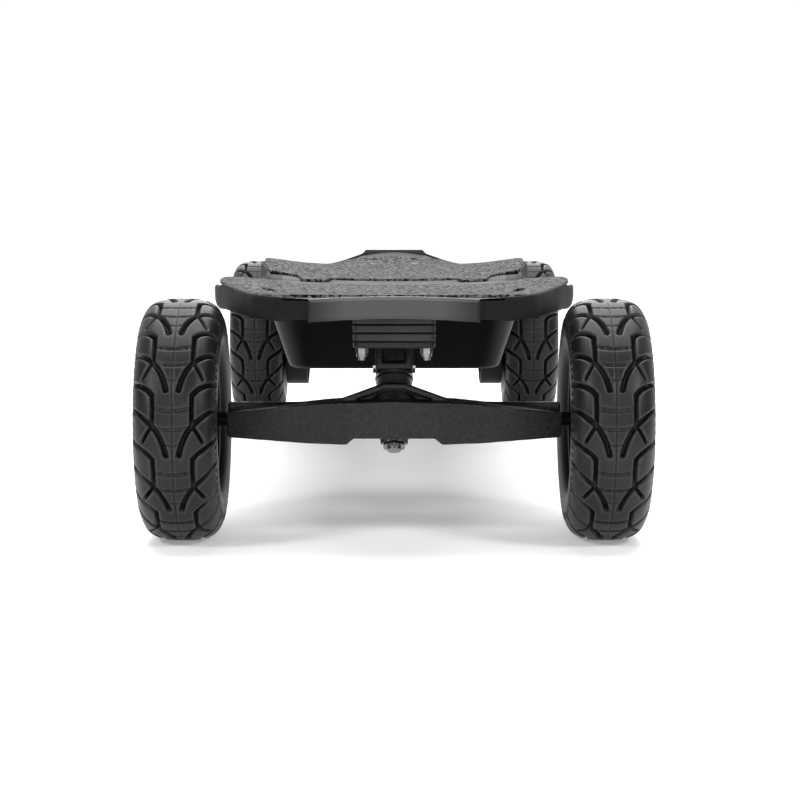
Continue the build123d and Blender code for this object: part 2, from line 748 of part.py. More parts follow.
for (side, s), place in wheel_names.items():
    axis = Axis((0, s * truck_y, axle_z), (1, 0, 0))
    with BuildPart() as tyre:
        with BuildSketch(wheel_section(side, s)):
            with BuildLine():
                Spline(*[(-x, r) for x, r in tyre_outside], *tyre_outside[-2::-1])
                Polyline((20, 49), (20, bead_r), (14.5, bead_r))
                Spline(*[(x, r) for x, r in tyre_inside], *[(-x, r) for x, r in tyre_inside[-2::-1]])
                Polyline((-14.5, bead_r), (-20, bead_r), (-20, 49))
            make_face()
        revolve(axis=axis)
    save(tyre, f"{place}_tyre")

    with BuildPart() as inner_tube:
        with BuildSketch(wheel_section(side, s)):
            with Locations((0, 62.5)):
                Ellipse(20.0, 16.0)
                Ellipse(18.6, 14.6, mode=Mode.SUBTRACT)
        revolve(axis=axis)
    save(inner_tube, f"{place}_inner_tube")

    with BuildPart() as hub:
        with BuildSketch(wheel_section(side, s)):
            with Locations((0, (rim_r + bead_r) / 2)):
                Rectangle(45.0, bead_r - rim_r)
            with Locations((-21.35, 45.0), (21.35, 45.0)):
                Rectangle(2.3, 7.6)
            with Locations((0, 12.75)):
                Rectangle(2 * hub_half, 9.5)
            with Locations((-hub_half + bearing_width / 2, 9), (hub_half - bearing_width / 2, 9)):
                Rectangle(bearing_width, 2 * (bearing_r - 9), mode=Mode.SUBTRACT)
        revolve(axis=axis)
        with BuildSketch(wheel_face(side, s, -9.0)):
            with PolarLocations(29.0, spokes, start_angle=90):
                Rectangle(27.0, 13.0)
            Circle(15.0, mode=Mode.SUBTRACT)
        extrude(amount=18.0)
        if s > 0:
            with BuildSketch(wheel_face(side, s, -hub_half)):
                Circle(17.5)
                Circle(bearing_r, mode=Mode.SUBTRACT)
            extrude(amount=-(wheel_x - hub_half - pulley_outer))
    save(hub, f"{place}_hub")

    with BuildPart() as bearings:
        for start in (-hub_half, hub_half - bearing_width):
            with BuildSketch(wheel_face(side, s, start)):
                Circle(bearing_r - 0.02)
                Circle(axle_r + 0.05, mode=Mode.SUBTRACT)
            extrude(amount=bearing_width)
        chamfer(bearings.edges().filter_by(GeomType.CIRCLE).filter_by(lambda e: e.radius > 10), 0.5)
    save(bearings, f"{place}_bearings")

# ---------------------------------------------------------------- belt drives
pulley_width = pulley_outer - pulley_inner
flange = 1.2
wheel_pitch_r = wheel_teeth * belt_pitch / (2 * pi)
motor_pitch_r = motor_teeth * belt_pitch / (2 * pi)
tooth_depth = 0.6
belt_gap = 0.5
belt_thick = 2.2


def drive_plane(side, distance, behind):
    """Upright plane along the board at a distance from its middle, on the axle or behind it."""
    return Plane(origin=(side * distance, truck_y + behind, axle_z), x_dir=(0, 1, 0), z_dir=(side, 0, 0))


for side, hand in ((-1, "left"), (1, "right")):
    with BuildPart() as wheel_pulley:
        with BuildSketch(drive_plane(side, pulley_inner, 0)):
            Circle(wheel_pitch_r - tooth_depth)
            with PolarLocations(wheel_pitch_r, wheel_teeth):
                Circle(1.5, mode=Mode.SUBTRACT)
            Circle(bearing_r + 4.5, mode=Mode.SUBTRACT)
        extrude(amount=pulley_width)
        for start in (pulley_inner, pulley_outer - flange):
            with BuildSketch(drive_plane(side, start, 0)):
                Circle(wheel_pitch_r + 3.0)
                Circle(bearing_r + 4.5, mode=Mode.SUBTRACT)
            extrude(amount=flange)
        with BuildSketch(drive_plane(side, pulley_inner, 0)):
            Circle(bearing_r + 5.0)
            Circle(axle_r + 1.0, mode=Mode.SUBTRACT)
        extrude(amount=pulley_width - 0.5)
    save(wheel_pulley, f"{hand}_wheel_pulley")

    with BuildPart() as motor_pulley:
        with BuildSketch(drive_plane(side, pulley_inner, drive_centres)):
            Circle(motor_pitch_r - tooth_depth)
            with PolarLocations(motor_pitch_r, motor_teeth):
                Circle(1.3, mode=Mode.SUBTRACT)
        extrude(amount=pulley_width)
        for start in (pulley_inner, pulley_outer - flange):
            with BuildSketch(drive_plane(side, start, drive_centres)):
                Circle(motor_pitch_r + 3.0)
            extrude(amount=flange)
        with BuildSketch(drive_plane(side, mount_inner - 20.0, drive_centres)):
            Circle(shaft_r)
        extrude(amount=pulley_inner - mount_inner + 20.0)
    save(motor_pulley, f"{hand}_motor_pulley")

    with BuildPart() as belt:
        with BuildSketch(drive_plane(side, pulley_inner + flange + 0.6, 0)):
            with BuildSketch(mode=Mode.PRIVATE) as outer_loop:
                Circle(wheel_pitch_r + belt_gap + belt_thick)
                with Locations((drive_centres, 0)):
                    Circle(motor_pitch_r + belt_gap + belt_thick)
                make_hull()
            with BuildSketch(mode=Mode.PRIVATE) as inner_loop:
                Circle(wheel_pitch_r + belt_gap)
                with Locations((drive_centres, 0)):
                    Circle(motor_pitch_r + belt_gap)
                make_hull()
            add(outer_loop.sketch)
            add(inner_loop.sketch, mode=Mode.SUBTRACT)
        extrude(amount=pulley_width - 2 * flange - 1.2)
    save(belt, f"{hand}_belt")

    with BuildPart() as mount:
        with BuildSketch(drive_plane(side, mount_inner, 0)):
            Circle(19.0)
            with Locations((drive_centres, 0)):
                Circle(27.0)
            make_hull()
        extrude(amount=mount_outer - mount_inner)
        with BuildSketch(drive_plane(side, mount_inner - 5, 0)):
            Circle(8.02)
            with Locations((drive_centres, 0)):
                Circle(11.0)
                with PolarLocations(motor_screw_circle, 4, start_angle=45):
                    Circle(motor_screw_r + 0.05)
        extrude(amount=20.0, mode=Mode.SUBTRACT)
    save(mount, f"{hand}_motor_mount")

    with BuildPart() as motor:
        with BuildSketch(drive_plane(side, motor_inner, drive_centres)):
            Circle(motor_r)
        extrude(amount=mount_inner - motor_inner)
        chamfer(motor.edges().filter_by(GeomType.CIRCLE), 2.5)
        # cooling ribs round the can
        for rib in range(7):
            with BuildSketch(drive_plane(side, motor_inner + 14.0 + rib * 7.0, drive_centres)):
                Circle(motor_r + 1.0)
                Circle(motor_r - 1.6, mode=Mode.SUBTRACT)
            extrude(amount=2.5, mode=Mode.SUBTRACT)
        with BuildSketch(drive_plane(side, mount_inner - 20.5, drive_centres)):
            Circle(shaft_r + 0.05)
        extrude(amount=21.0, mode=Mode.SUBTRACT)
        with BuildSketch(drive_plane(side, mount_inner - 6.0, drive_centres)):
            with PolarLocations(motor_screw_circle, 4, start_angle=45):
                Circle(motor_screw_r)
        extrude(amount=mount_outer - mount_inner + 6.0)
    save(motor, f"{hand}_motor")

    with BuildPart() as cover:
        with BuildSketch(drive_plane(side, cover_inner, 0)):
            Circle(cover_r)
            with Locations((drive_centres, 0)):
                Circle(cover_small_r)
            make_hull()
        extrude(amount=cover_outer - cover_inner)
        chamfer(cover.faces().sort_by(Axis.X)[-1 if side > 0 else 0].edges(), 1.2)
        with BuildSketch(drive_plane(side, cover_inner, 0)):
            Circle(cover_r - cover_wall)
            with Locations((drive_centres, 0)):
                Circle(cover_small_r - cover_wall)
            make_hull()
        extrude(amount=cover_outer - cover_inner - 2.4, mode=Mode.SUBTRACT)
        with BuildSketch(drive_plane(side, cover_inner, 0)):
            Circle(20.0)
        extrude(amount=40.0, mode=Mode.SUBTRACT)
    save(cover, f"{hand}_belt_cover")

# ---------------------------------------------------------------- motor leads, from each motor to the tub
with BuildPart() as leads:
    for side in (-1, 1):
        with BuildLine():
            path = FilletPolyline(*[(side * x, y, z) for x, y, z in lead_route], radius=[40, 45, 60, 60])
        with BuildSketch(Plane(path @ 0, z_dir=path % 0)):
            Circle(lead_r)
        sweep(path=path)
tube_length = leads.part.volume / (2 * pi * lead_r ** 2)
print(f"motor leads: route {path.length:.1f}, tube {tube_length:.1f}, radii 40, 45, 60 and 60")
save(leads, "motor_leads")

with BuildPart() as glands:
    for side in (-1, 1):
        with BuildSketch(gland_plane(side)):
            Circle(gland_r)
        extrude(amount=gland_reach + 3.0)
save(glands, "lead_glands")
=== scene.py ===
import json
from math import pi, radians

import bpy
import numpy as np
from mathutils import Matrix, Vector

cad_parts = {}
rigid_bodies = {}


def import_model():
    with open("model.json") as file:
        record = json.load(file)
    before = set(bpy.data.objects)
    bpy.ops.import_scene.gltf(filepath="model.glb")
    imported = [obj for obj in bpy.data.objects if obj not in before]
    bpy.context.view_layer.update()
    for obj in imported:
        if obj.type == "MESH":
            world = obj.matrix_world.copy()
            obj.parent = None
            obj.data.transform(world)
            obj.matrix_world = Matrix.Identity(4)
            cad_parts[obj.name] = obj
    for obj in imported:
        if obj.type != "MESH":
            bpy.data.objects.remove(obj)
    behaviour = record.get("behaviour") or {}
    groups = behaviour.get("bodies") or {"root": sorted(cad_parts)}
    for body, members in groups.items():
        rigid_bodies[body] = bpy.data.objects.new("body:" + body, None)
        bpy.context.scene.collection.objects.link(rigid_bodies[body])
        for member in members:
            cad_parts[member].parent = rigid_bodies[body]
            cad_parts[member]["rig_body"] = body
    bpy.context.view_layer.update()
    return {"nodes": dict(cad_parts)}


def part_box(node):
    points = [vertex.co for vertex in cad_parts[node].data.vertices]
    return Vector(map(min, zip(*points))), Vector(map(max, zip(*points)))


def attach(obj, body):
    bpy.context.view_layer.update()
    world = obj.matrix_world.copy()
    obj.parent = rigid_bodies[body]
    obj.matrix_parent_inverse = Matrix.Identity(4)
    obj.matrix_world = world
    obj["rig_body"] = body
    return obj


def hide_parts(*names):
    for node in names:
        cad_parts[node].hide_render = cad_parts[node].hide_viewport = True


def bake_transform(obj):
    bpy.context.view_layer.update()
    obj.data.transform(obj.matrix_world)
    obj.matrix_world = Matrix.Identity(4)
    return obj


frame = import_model()

bl_info = {
    "name": "All-terrain electric skateboard",
    "version": (1, 0, 0),
    "blender": (4, 5, 0),
    "location": "View3D > Sidebar > Skateboard",
    "description": "Builds the visual model of an electric skateboard round its packed CAD frame",
    "category": "Object",
}

MM = 0.001
NODES = frame["nodes"]
WHEELS = ("front_left", "front_right", "rear_left", "rear_right")


def box_mm(node):
    """Lowest and highest corner of a CAD node, in millimetres."""
    low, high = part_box(node)
    return np.array(low) / MM, np.array(high) / MM


def linear(code):
    """Linear-light red, green and blue from an sRGB hex code."""
    parts = [int(code[i:i + 2], 16) / 255 for i in (1, 3, 5)]
    return tuple(p / 12.92 if p <= 0.04045 else ((p + 0.055) / 1.055) ** 2.4 for p in parts)


# ---------------------------------------------------------------- sizes and colours to change
class SkateboardSizes(bpy.types.PropertyGroup):
    """Sizes of the details that Blender adds to the frame."""

    groove_depth: bpy.props.FloatProperty(
        name="Tread groove depth", description="Depth of the wide tread grooves",
        default=4.4 * MM, min=0.0, unit="LENGTH")
    sipe_depth: bpy.props.FloatProperty(
        name="Sipe depth", description="Depth of the fine slits across the middle rib",
        default=1.7 * MM, min=0.0, unit="LENGTH")
    tread_repeats: bpy.props.IntProperty(
        name="Tread repeats", description="How often the tread pattern repeats round a tyre",
        default=12, min=6, max=24)
    cast_voxel: bpy.props.FloatProperty(
        name="Casting softness", description="Voxel size that rounds the edges of the cast parts",
        default=0.9 * MM, min=0.4 * MM, unit="LENGTH")
    camera_distance: bpy.props.FloatProperty(
        name="Camera distance", description="From the camera to the middle of the board",
        default=1.935, min=0.5, unit="LENGTH")
    camera_height: bpy.props.FloatProperty(
        name="Camera height", description="Height of the camera over the floor",
        default=0.249, min=0.0, unit="LENGTH")


def colour(label, words, code):
    """A colour property with its default given as an sRGB hex code."""
    return bpy.props.FloatVectorProperty(
        name=label, description=words, default=linear(code), subtype="COLOR", size=3, min=0.0,
        max=1.0)


class SkateboardColours(bpy.types.PropertyGroup):
    """Base colours of the visible materials."""

    deck: colour("Deck", "Moulded composite of the deck", "#0c0c0d")
    grip: colour("Grip", "Grit of the foot pads", "#343536")
    bumper: colour("Bumper", "Rubber of the end bumpers", "#19191a")
    tub: colour("Tub", "ABS of the battery tub", "#0a0a0b")
    casting: colour("Casting", "Paint on the cast truck parts", "#101011")
    tyre: colour("Tyre", "Tyre rubber", "#121213")
    floor: colour("Floor", "Studio floor", "#f4f4f4")


# ---------------------------------------------------------------- materials
def add(tree, kind, inputs=None, **settings):
    """Add one node: its properties are set, then each input is linked or given a value."""
    made = tree.nodes.new(kind)
    for name, value in settings.items():
        setattr(made, name, value)
    for key, value in (inputs or {}).items():
        if isinstance(value, bpy.types.NodeSocket):
            tree.links.new(value, made.inputs[key])
        else:
            made.inputs[key].default_value = value
    return made


def new_material(name):
    """An empty node material, with its tree and its object coordinates."""
    material = bpy.data.materials.new(name)
    material.use_nodes = True
    tree = material.node_tree
    tree.nodes.clear()
    where = add(tree, "ShaderNodeTexCoord").outputs["Object"]
    return material, tree, where


def per_size(size_mm):
    """Texture scale at which one feature measures the given millimetres."""
    return 1.0 / (size_mm * MM)


def tones(tree, factor, dark, light, low=0.35, high=0.65):
    """Two colours blended across a band of a factor."""
    ramp = add(tree, "ShaderNodeValToRGB", {"Fac": factor})
    ramp.color_ramp.elements[0].position = low
    ramp.color_ramp.elements[0].color = (*dark, 1.0)
    ramp.color_ramp.elements[1].position = high
    ramp.color_ramp.elements[1].color = (*light, 1.0)
    return ramp.outputs["Color"]


def edges(tree, low, high):
    """0 in hollows and on flats, 1 on sharp outer edges, from how pointed the mesh is."""
    pointed = add(tree, "ShaderNodeNewGeometry").outputs["Pointiness"]
    return add(tree, "ShaderNodeMapRange", {"Value": pointed, "From Min": low,
                                            "From Max": high}).outputs[0]


def output(tree, shader):
    """Send a shader's result to the material's surface."""
    add(tree, "ShaderNodeOutputMaterial", {"Surface": shader.outputs[0]})


def scaled(rgb, factor):
    """A colour made lighter or darker."""
    return tuple(min(1.0, part * factor) for part in rgb)


def moulded(name, rgb, roughness, grain_mm=0.8, depth_mm=0.05, specular=0.28):
    """Injection- or compression-moulded plastic or rubber: a fine spark-eroded grain breaks the
    highlight, and slow patches of gloss show where hands and dust have been."""
    material, tree, where = new_material(name)
    grain = add(tree, "ShaderNodeTexNoise", {"Vector": where, "Scale": per_size(grain_mm),
                                             "Detail": 4.0, "Roughness": 0.6})
    patches = add(tree, "ShaderNodeTexNoise", {"Vector": where, "Scale": per_size(45),
                                               "Detail": 3.0})
    base = tones(tree, patches.outputs["Fac"], scaled(rgb, 0.75), scaled(rgb, 1.25))
    rough = add(tree, "ShaderNodeMapRange", {"Value": patches.outputs["Fac"],
                                             "To Min": roughness - 0.07,
                                             "To Max": roughness + 0.07})
    bump = add(tree, "ShaderNodeBump", {"Height": grain.outputs["Fac"], "Distance": depth_mm * MM,
                                        "Strength": 0.6})
    output(tree, add(tree, "ShaderNodeBsdfPrincipled", {
        "Base Color": base, "Roughness": rough.outputs[0], "Normal": bump.outputs[0], "IOR": 1.5,
        "Specular IOR Level": specular}))
    return material


def cast_paint(name, rgb):
    """Sand-cast alloy under black powder paint: a pebbly skin of about 2 mm with finer orange peel,
    which scatters small glints, and a painted highlight makes every sharp edge pale."""
    material, tree, where = new_material(name)
    pebbles = add(tree, "ShaderNodeTexNoise", {"Vector": where, "Scale": per_size(2.4),
                                               "Detail": 3.0})
    peel = add(tree, "ShaderNodeTexVoronoi", {"Vector": where, "Scale": per_size(1.1)},
               feature="SMOOTH_F1")
    height = add(tree, "ShaderNodeMath", {0: pebbles.outputs["Fac"], 1: peel.outputs["Distance"]},
                 operation="ADD")
    bump = add(tree, "ShaderNodeBump", {"Height": height.outputs[0], "Distance": 0.22 * MM,
                                        "Strength": 0.55})
    rough = add(tree, "ShaderNodeMapRange", {"Value": pebbles.outputs["Fac"], "To Min": 0.3,
                                             "To Max": 0.52})
    tone_under_highlight = tones(tree, pebbles.outputs["Fac"], scaled(rgb, 0.6), scaled(rgb, 2.2))
    # painted highlight: sharp outer edges are lightened to thirty times the paint colour
    base = add(tree, "ShaderNodeMix", {0: edges(tree, 0.53, 0.66), 6: tone_under_highlight,
                                       7: (*scaled(rgb, 30), 1.0)}, data_type="RGBA").outputs[2]
    output(tree, add(tree, "ShaderNodeBsdfPrincipled", {
        "Base Color": base, "Roughness": rough.outputs[0], "Normal": bump.outputs[0], "IOR": 1.5,
        "Specular IOR Level": 0.25}))
    return material


def machined(name, rgb, roughness):
    """Turned, drawn or milled metal: level tool lines, 2.4 mm long and 0.2 mm apart, with duller
    and brighter bands from plating and handling."""
    material, tree, where = new_material(name)
    drawn_out = add(tree, "ShaderNodeMapping", {"Vector": where, "Scale": (1, 1, 12)})
    lines = add(tree, "ShaderNodeTexNoise", {"Vector": drawn_out.outputs[0], "Scale": per_size(2.4),
                                             "Detail": 3.0})
    bands = add(tree, "ShaderNodeTexNoise", {"Vector": where, "Scale": per_size(9), "Detail": 2.0})
    base = tones(tree, bands.outputs["Fac"], scaled(rgb, 0.78), rgb)
    rough = add(tree, "ShaderNodeMapRange", {"Value": lines.outputs["Fac"],
                                             "To Min": roughness - 0.08,
                                             "To Max": roughness + 0.1})
    bump = add(tree, "ShaderNodeBump", {"Height": lines.outputs["Fac"], "Distance": 0.03 * MM,
                                        "Strength": 0.4})
    output(tree, add(tree, "ShaderNodeBsdfPrincipled", {
        "Base Color": base, "Metallic": 1.0, "Roughness": rough.outputs[0],
        "Normal": bump.outputs[0]}))
    return material


def grit(name, rgb):
    """Silicon carbide grit on a pad: dark resin with pale sharp grains. The grains are drawn 2.4 mm
    apart, coarser than the real 0.4 mm, so that the speckle shows."""
    material, tree, where = new_material(name)
    grains = add(tree, "ShaderNodeTexVoronoi", {"Vector": where, "Scale": per_size(2.4)})
    worn = add(tree, "ShaderNodeTexNoise", {"Vector": where, "Scale": per_size(30), "Detail": 5.0})
    speckle = tones(tree, grains.outputs["Color"], scaled(rgb, 0.02), scaled(rgb, 7.0), 0.35, 0.9)
    dust = tones(tree, worn.outputs["Fac"], scaled(rgb, 0.35), scaled(rgb, 0.9))
    base = add(tree, "ShaderNodeMix", {0: 0.15, 6: speckle, 7: dust}, data_type="RGBA")
    bump = add(tree, "ShaderNodeBump", {"Height": grains.outputs["Distance"], "Distance": 0.35 * MM,
                                        "Strength": 0.8})
    output(tree, add(tree, "ShaderNodeBsdfPrincipled", {
        "Base Color": base.outputs[2], "Roughness": 0.85, "Normal": bump.outputs[0], "IOR": 1.55,
        "Specular IOR Level": 0.08}))
    return material


def bumper_rubber(name, rgb):
    """Compression-moulded rubber: satin, with a painted reflection that is pale across the middle
    and nearly black towards the corners, over a fine spark-eroded grain."""
    material, tree, where = new_material(name)
    sideways = add(tree, "ShaderNodeSeparateXYZ", {"Vector": where}).outputs["X"]
    across = add(tree, "ShaderNodeMath", {0: sideways}, operation="ABSOLUTE")
    # painted reflection: pale across the middle of the bumper, darker towards its ends
    painted_reflection_middle = add(tree, "ShaderNodeMapRange", {"Value": across.outputs[0], "From Min": 32 * MM,
                                              "From Max": 54 * MM, "To Min": 1.0, "To Max": 0.0})
    grain = add(tree, "ShaderNodeTexNoise", {"Vector": where, "Scale": per_size(0.9),
                                             "Detail": 4.0})
    base = add(tree, "ShaderNodeMix", {0: painted_reflection_middle.outputs[0], 6: (*scaled(rgb, 0.35), 1.0),
                                       7: (*scaled(rgb, 4.0), 1.0)}, data_type="RGBA").outputs[2]
    bump = add(tree, "ShaderNodeBump", {"Height": grain.outputs["Fac"], "Distance": 0.08 * MM,
                                        "Strength": 0.6})
    output(tree, add(tree, "ShaderNodeBsdfPrincipled", {
        "Base Color": base, "Roughness": 0.42, "Normal": bump.outputs[0], "IOR": 1.5,
        "Specular IOR Level": 0.3}))
    return material


def tyre_rubber(name, rgb):
    """Vulcanised carbon-black rubber: a dull skin with mould marks, greyer where dust settles, with
    a painted highlight that makes the edges of the tread blocks paler and shinier, and painted
    shade that keeps the grooves black by weakening their reflection."""
    material, tree, where = new_material(name)
    skin = add(tree, "ShaderNodeTexNoise", {"Vector": where, "Scale": per_size(1.4), "Detail": 6.0,
                                            "Roughness": 0.65})
    dust = add(tree, "ShaderNodeTexNoise", {"Vector": where, "Scale": per_size(26), "Detail": 6.0})
    tone_under_highlight = tones(tree, dust.outputs["Fac"], scaled(rgb, 0.5), scaled(rgb, 1.3))
    # painted highlight: the edges of the tread blocks are lightened fourfold
    base = add(tree, "ShaderNodeMix", {0: edges(tree, 0.505, 0.57), 6: tone_under_highlight,
                                       7: (*scaled(rgb, 4), 1.0)}, data_type="RGBA").outputs[2]
    # painted shade: hollows such as the grooves reflect less, so they stay black
    reflection_shaded_in_grooves = add(tree, "ShaderNodeMapRange", {"Value": edges(tree, 0.44, 0.52), "To Min": 0.05,
                                             "To Max": 0.3}).outputs[0]
    rough = add(tree, "ShaderNodeMapRange", {"Value": skin.outputs["Fac"], "To Min": 0.3,
                                             "To Max": 0.55})
    bump = add(tree, "ShaderNodeBump", {"Height": skin.outputs["Fac"], "Distance": 0.12 * MM,
                                        "Strength": 0.6})
    output(tree, add(tree, "ShaderNodeBsdfPrincipled", {
        "Base Color": base, "Roughness": rough.outputs[0], "Normal": bump.outputs[0], "IOR": 1.52,
        "Specular IOR Level": reflection_shaded_in_grooves}))
    return material


# ---------------------------------------------------------------- meshes
def grid_faces(rows, columns, close_rows=False):
    """Quads over a grid of points numbered row by row. Each row is a loop, and the last row joins
    the first where the rows close too."""
    r = np.arange(rows if close_rows else rows - 1)
    r, c = (part.ravel() for part in np.meshgrid(r, np.arange(columns), indexing="ij"))
    r2, c2 = (r + 1) % rows, (c + 1) % columns
    return np.stack([r * columns + c, r * columns + c2, r2 * columns + c2, r2 * columns + c],
                    axis=1)


def make_piece(name, points_mm, faces, material, node):
    """A smooth mesh object from points in millimetres, standing for a CAD node and riding on its
    body. The faces are turned over if their volume comes out negative, so that they point
    outwards."""
    points, faces = np.asarray(points_mm).reshape(-1, 3) * MM, np.asarray(faces)
    a, b, c = (points[faces[:, k]] for k in (0, 1, 2))
    outward = np.sum(np.cross(b - a, c - a) * (a - points.mean(axis=0))) > 0
    mesh = bpy.data.meshes.new(name)
    mesh.from_pydata(points.tolist(), [], (faces if outward else faces[:, ::-1]).tolist())
    mesh.materials.append(material)
    mesh.polygons.foreach_set("use_smooth", [True] * len(mesh.polygons))
    mesh.validate()
    piece = bpy.data.objects.new(name, mesh)
    bpy.context.scene.collection.objects.link(piece)
    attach(piece, body_of_node(node))
    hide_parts(node)
    return piece


def finish_node(node, material):
    """Give a CAD node its material."""
    mesh = NODES[node].data
    mesh.materials.clear()
    mesh.materials.append(material)


def body_of_node(node):
    """Name of the body that a CAD node belongs to."""
    return NODES[node]["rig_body"]


def soften(node, material, voxel):
    """A cast copy of a CAD node: rebuilt on a fine voxel grid and relaxed, so that its edges are
    round as a casting's are. The copy stands for the node."""
    mesh = NODES[node].data.copy()
    piece = bpy.data.objects.new(f"{node}_cast", mesh)
    bpy.context.scene.collection.objects.link(piece)
    weld = piece.modifiers.new("weld", "WELD")
    weld.merge_threshold = 0.01 * MM
    remesh = piece.modifiers.new("remesh", "REMESH")
    remesh.mode = "VOXEL"
    remesh.voxel_size = voxel
    relax = piece.modifiers.new("relax", "SMOOTH")
    relax.factor = 0.5
    relax.iterations = 4
    bpy.context.view_layer.update()
    shaped = piece.evaluated_get(bpy.context.evaluated_depsgraph_get())
    made = bpy.data.meshes.new_from_object(shaped)
    piece.modifiers.clear()
    piece.data = made
    made.name = piece.name
    made.materials.clear()
    made.materials.append(material)
    made.polygons.foreach_set("use_smooth", [True] * len(made.polygons))
    bpy.data.meshes.remove(mesh)
    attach(piece, body_of_node(node))
    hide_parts(node)


def bending_copy(node, material):
    """A copy of a CAD node with its own material and its placement baked into the mesh, standing
    for the node."""
    piece = bpy.data.objects.new(f"{node}_bending", NODES[node].data.copy())
    piece.matrix_world = NODES[node].matrix_world
    bpy.context.scene.collection.objects.link(piece)
    piece.data.materials.clear()
    piece.data.materials.append(material)
    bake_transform(piece)
    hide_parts(node)


def along_curve(points, count=24):
    """Points along a smooth curve through a few given ones: a Catmull-Rom blend of each span."""
    p = np.array(points, float)
    p = np.vstack([2 * p[0] - p[1], p, 2 * p[-1] - p[-2]])
    t = np.linspace(0, 1, count, endpoint=False)[:, None]
    spans = []
    for a, b, c, d in zip(p, p[1:], p[2:], p[3:]):
        spans.append(0.5 * (2 * b + (c - a) * t + (2 * a - 5 * b + 4 * c - d) * t ** 2
                            + (3 * b - a - 3 * c + d) * t ** 3))
    return np.vstack([*spans, p[-2:-1]])


def distance_to(path, x, y):
    """Distance from each point of a grid to the nearest stretch of a path."""
    best = np.full(x.shape, 1e9)
    for (ax, ay), (bx, by) in zip(path, path[1:]):
        dx, dy = bx - ax, by - ay
        t = np.clip(((x - ax) * dx + (y - ay) * dy) / (dx * dx + dy * dy + 1e-12), 0, 1)
        best = np.minimum(best, np.hypot(x - ax - t * dx, y - ay - t * dy))
    return best


def trench(distance, width, soft):
    """1 on the floor of a groove and 0 outside it, with a smooth wall of a given softness."""
    t = np.clip((width / 2 + soft - distance) / (2 * soft), 0, 1)
    return t * t * (3 - 2 * t)


# ---------------------------------------------------------------- tyres
TYRE_LOW, TYRE_HIGH = box_mm("front_left_tyre")
TYRE_R = (TYRE_HIGH[2] - TYRE_LOW[2]) / 2
TYRE_HALF = (TYRE_HIGH[0] - TYRE_LOW[0]) / 2
TREAD_EDGE = 36.0
LUGS_PER_REPEAT = 6
# turn of the first groove's tip from the front of the tyre, and rows of points in one repeat
TIP_ANGLE = radians(-10.5)
ROWS_PER_REPEAT = 56


def tyre_section():
    """Half of the tyre's outline as radius over distance from its middle: a gently domed crown, a
    round shoulder, a nearly straight wall and the bead. Returned mirrored and evenly resampled,
    with its signed length from the crown."""
    half = np.array([(0, TYRE_R), (9, TYRE_R - 0.35), (16.5, TYRE_R - 1.7), (22.4, TYRE_R - 4.6),
                     (26.2, TYRE_R - 9.2), (28.4, TYRE_R - 15.5), (TYRE_HALF - 0.2, TYRE_R - 23),
                     (28.7, 58.5), (26.2, 53), (21.8, 49.2), (20.1, 47.5), (20.0, 44.4)])
    curve = along_curve(half, 30)
    steps = np.hypot(*np.diff(curve, axis=0).T)
    length = np.concatenate([[0], np.cumsum(steps)])
    wanted = np.concatenate([np.arange(0, TREAD_EDGE + 5.5, 0.85),
                             np.linspace(TREAD_EDGE + 7, length[-1], 11)])
    x = np.interp(wanted, length, curve[:, 0])
    r = np.interp(wanted, length, curve[:, 1])
    x[0] = 0.0
    return (np.concatenate([-x[:0:-1], x]), np.concatenate([r[:0:-1], r]),
            np.concatenate([-wanted[:0:-1], wanted]))


def tread_relief(u, v, pitch, depth, sipe):
    """Depth cut below the tread's skin. u runs down the front of the tyre in millimetres from a
    groove's tip, v across it. The pattern is mirrored about the middle and repeats every pitch."""
    a = np.abs(v)
    wide = [(along_curve([(4.4, 0.5), (6.6, -7.5), (10.4, -15.5), (15.6, -21.8), (22, -26.8),
                          (29, -30.6), (37, -34)]), 3.3),
            (along_curve([(13.9, -21.5), (13.7, -32), (14.0, -42.2)]), 2.5),
            (along_curve([(14.0, -42.2), (18.5, -46.6), (27, -51.0), (37, -54.4)]), 3.1),
            (along_curve([(14.6, -19.8), (18.0, -14.6), (21.6, -8.6)]), 1.9)]
    fine = [along_curve([(0, -30.2), (6, -30.6), (12.8, -32.0)]),
            along_curve([(0, -31.9), (6, -32.3), (12.8, -33.7)]),
            along_curve([(0, -17.0), (6, -17.4), (11.0, -18.6)]),
            along_curve([(0, -18.5), (6, -18.9), (11.0, -20.1)]),
            along_curve([(0, -6.8), (4.6, -7.2)])]
    cut = np.zeros(u.shape)
    for shift in (-pitch, 0.0, pitch):
        for path, width in wide:
            near = distance_to(path[::4], a, u + shift)
            cut = np.maximum(cut, depth * trench(near, width, 0.6))
        for path in fine:
            near = distance_to(path[::6], a, u + shift)
            cut = np.maximum(cut, sipe * trench(near, 0.5, 0.5))
    cut = np.maximum(cut, 0.6 * sipe * trench(a, 0.4, 0.55))
    fade = np.clip((TREAD_EDGE + 1.5 - a) / 3.0, 0, 1)
    cut = cut * fade
    # a raised rim at the tread's edge, over a ring that is cut into small lugs
    lugs = 0.5 + 0.5 * np.sign(np.sin(2 * pi * u / pitch * LUGS_PER_REPEAT))
    rim = np.exp(-((a - 34.6) / 1.1) ** 2)
    cut += 0.9 * (1 - lugs) * np.exp(-((a - 37.5) / 2.4) ** 4) - 0.35 * rim
    return cut


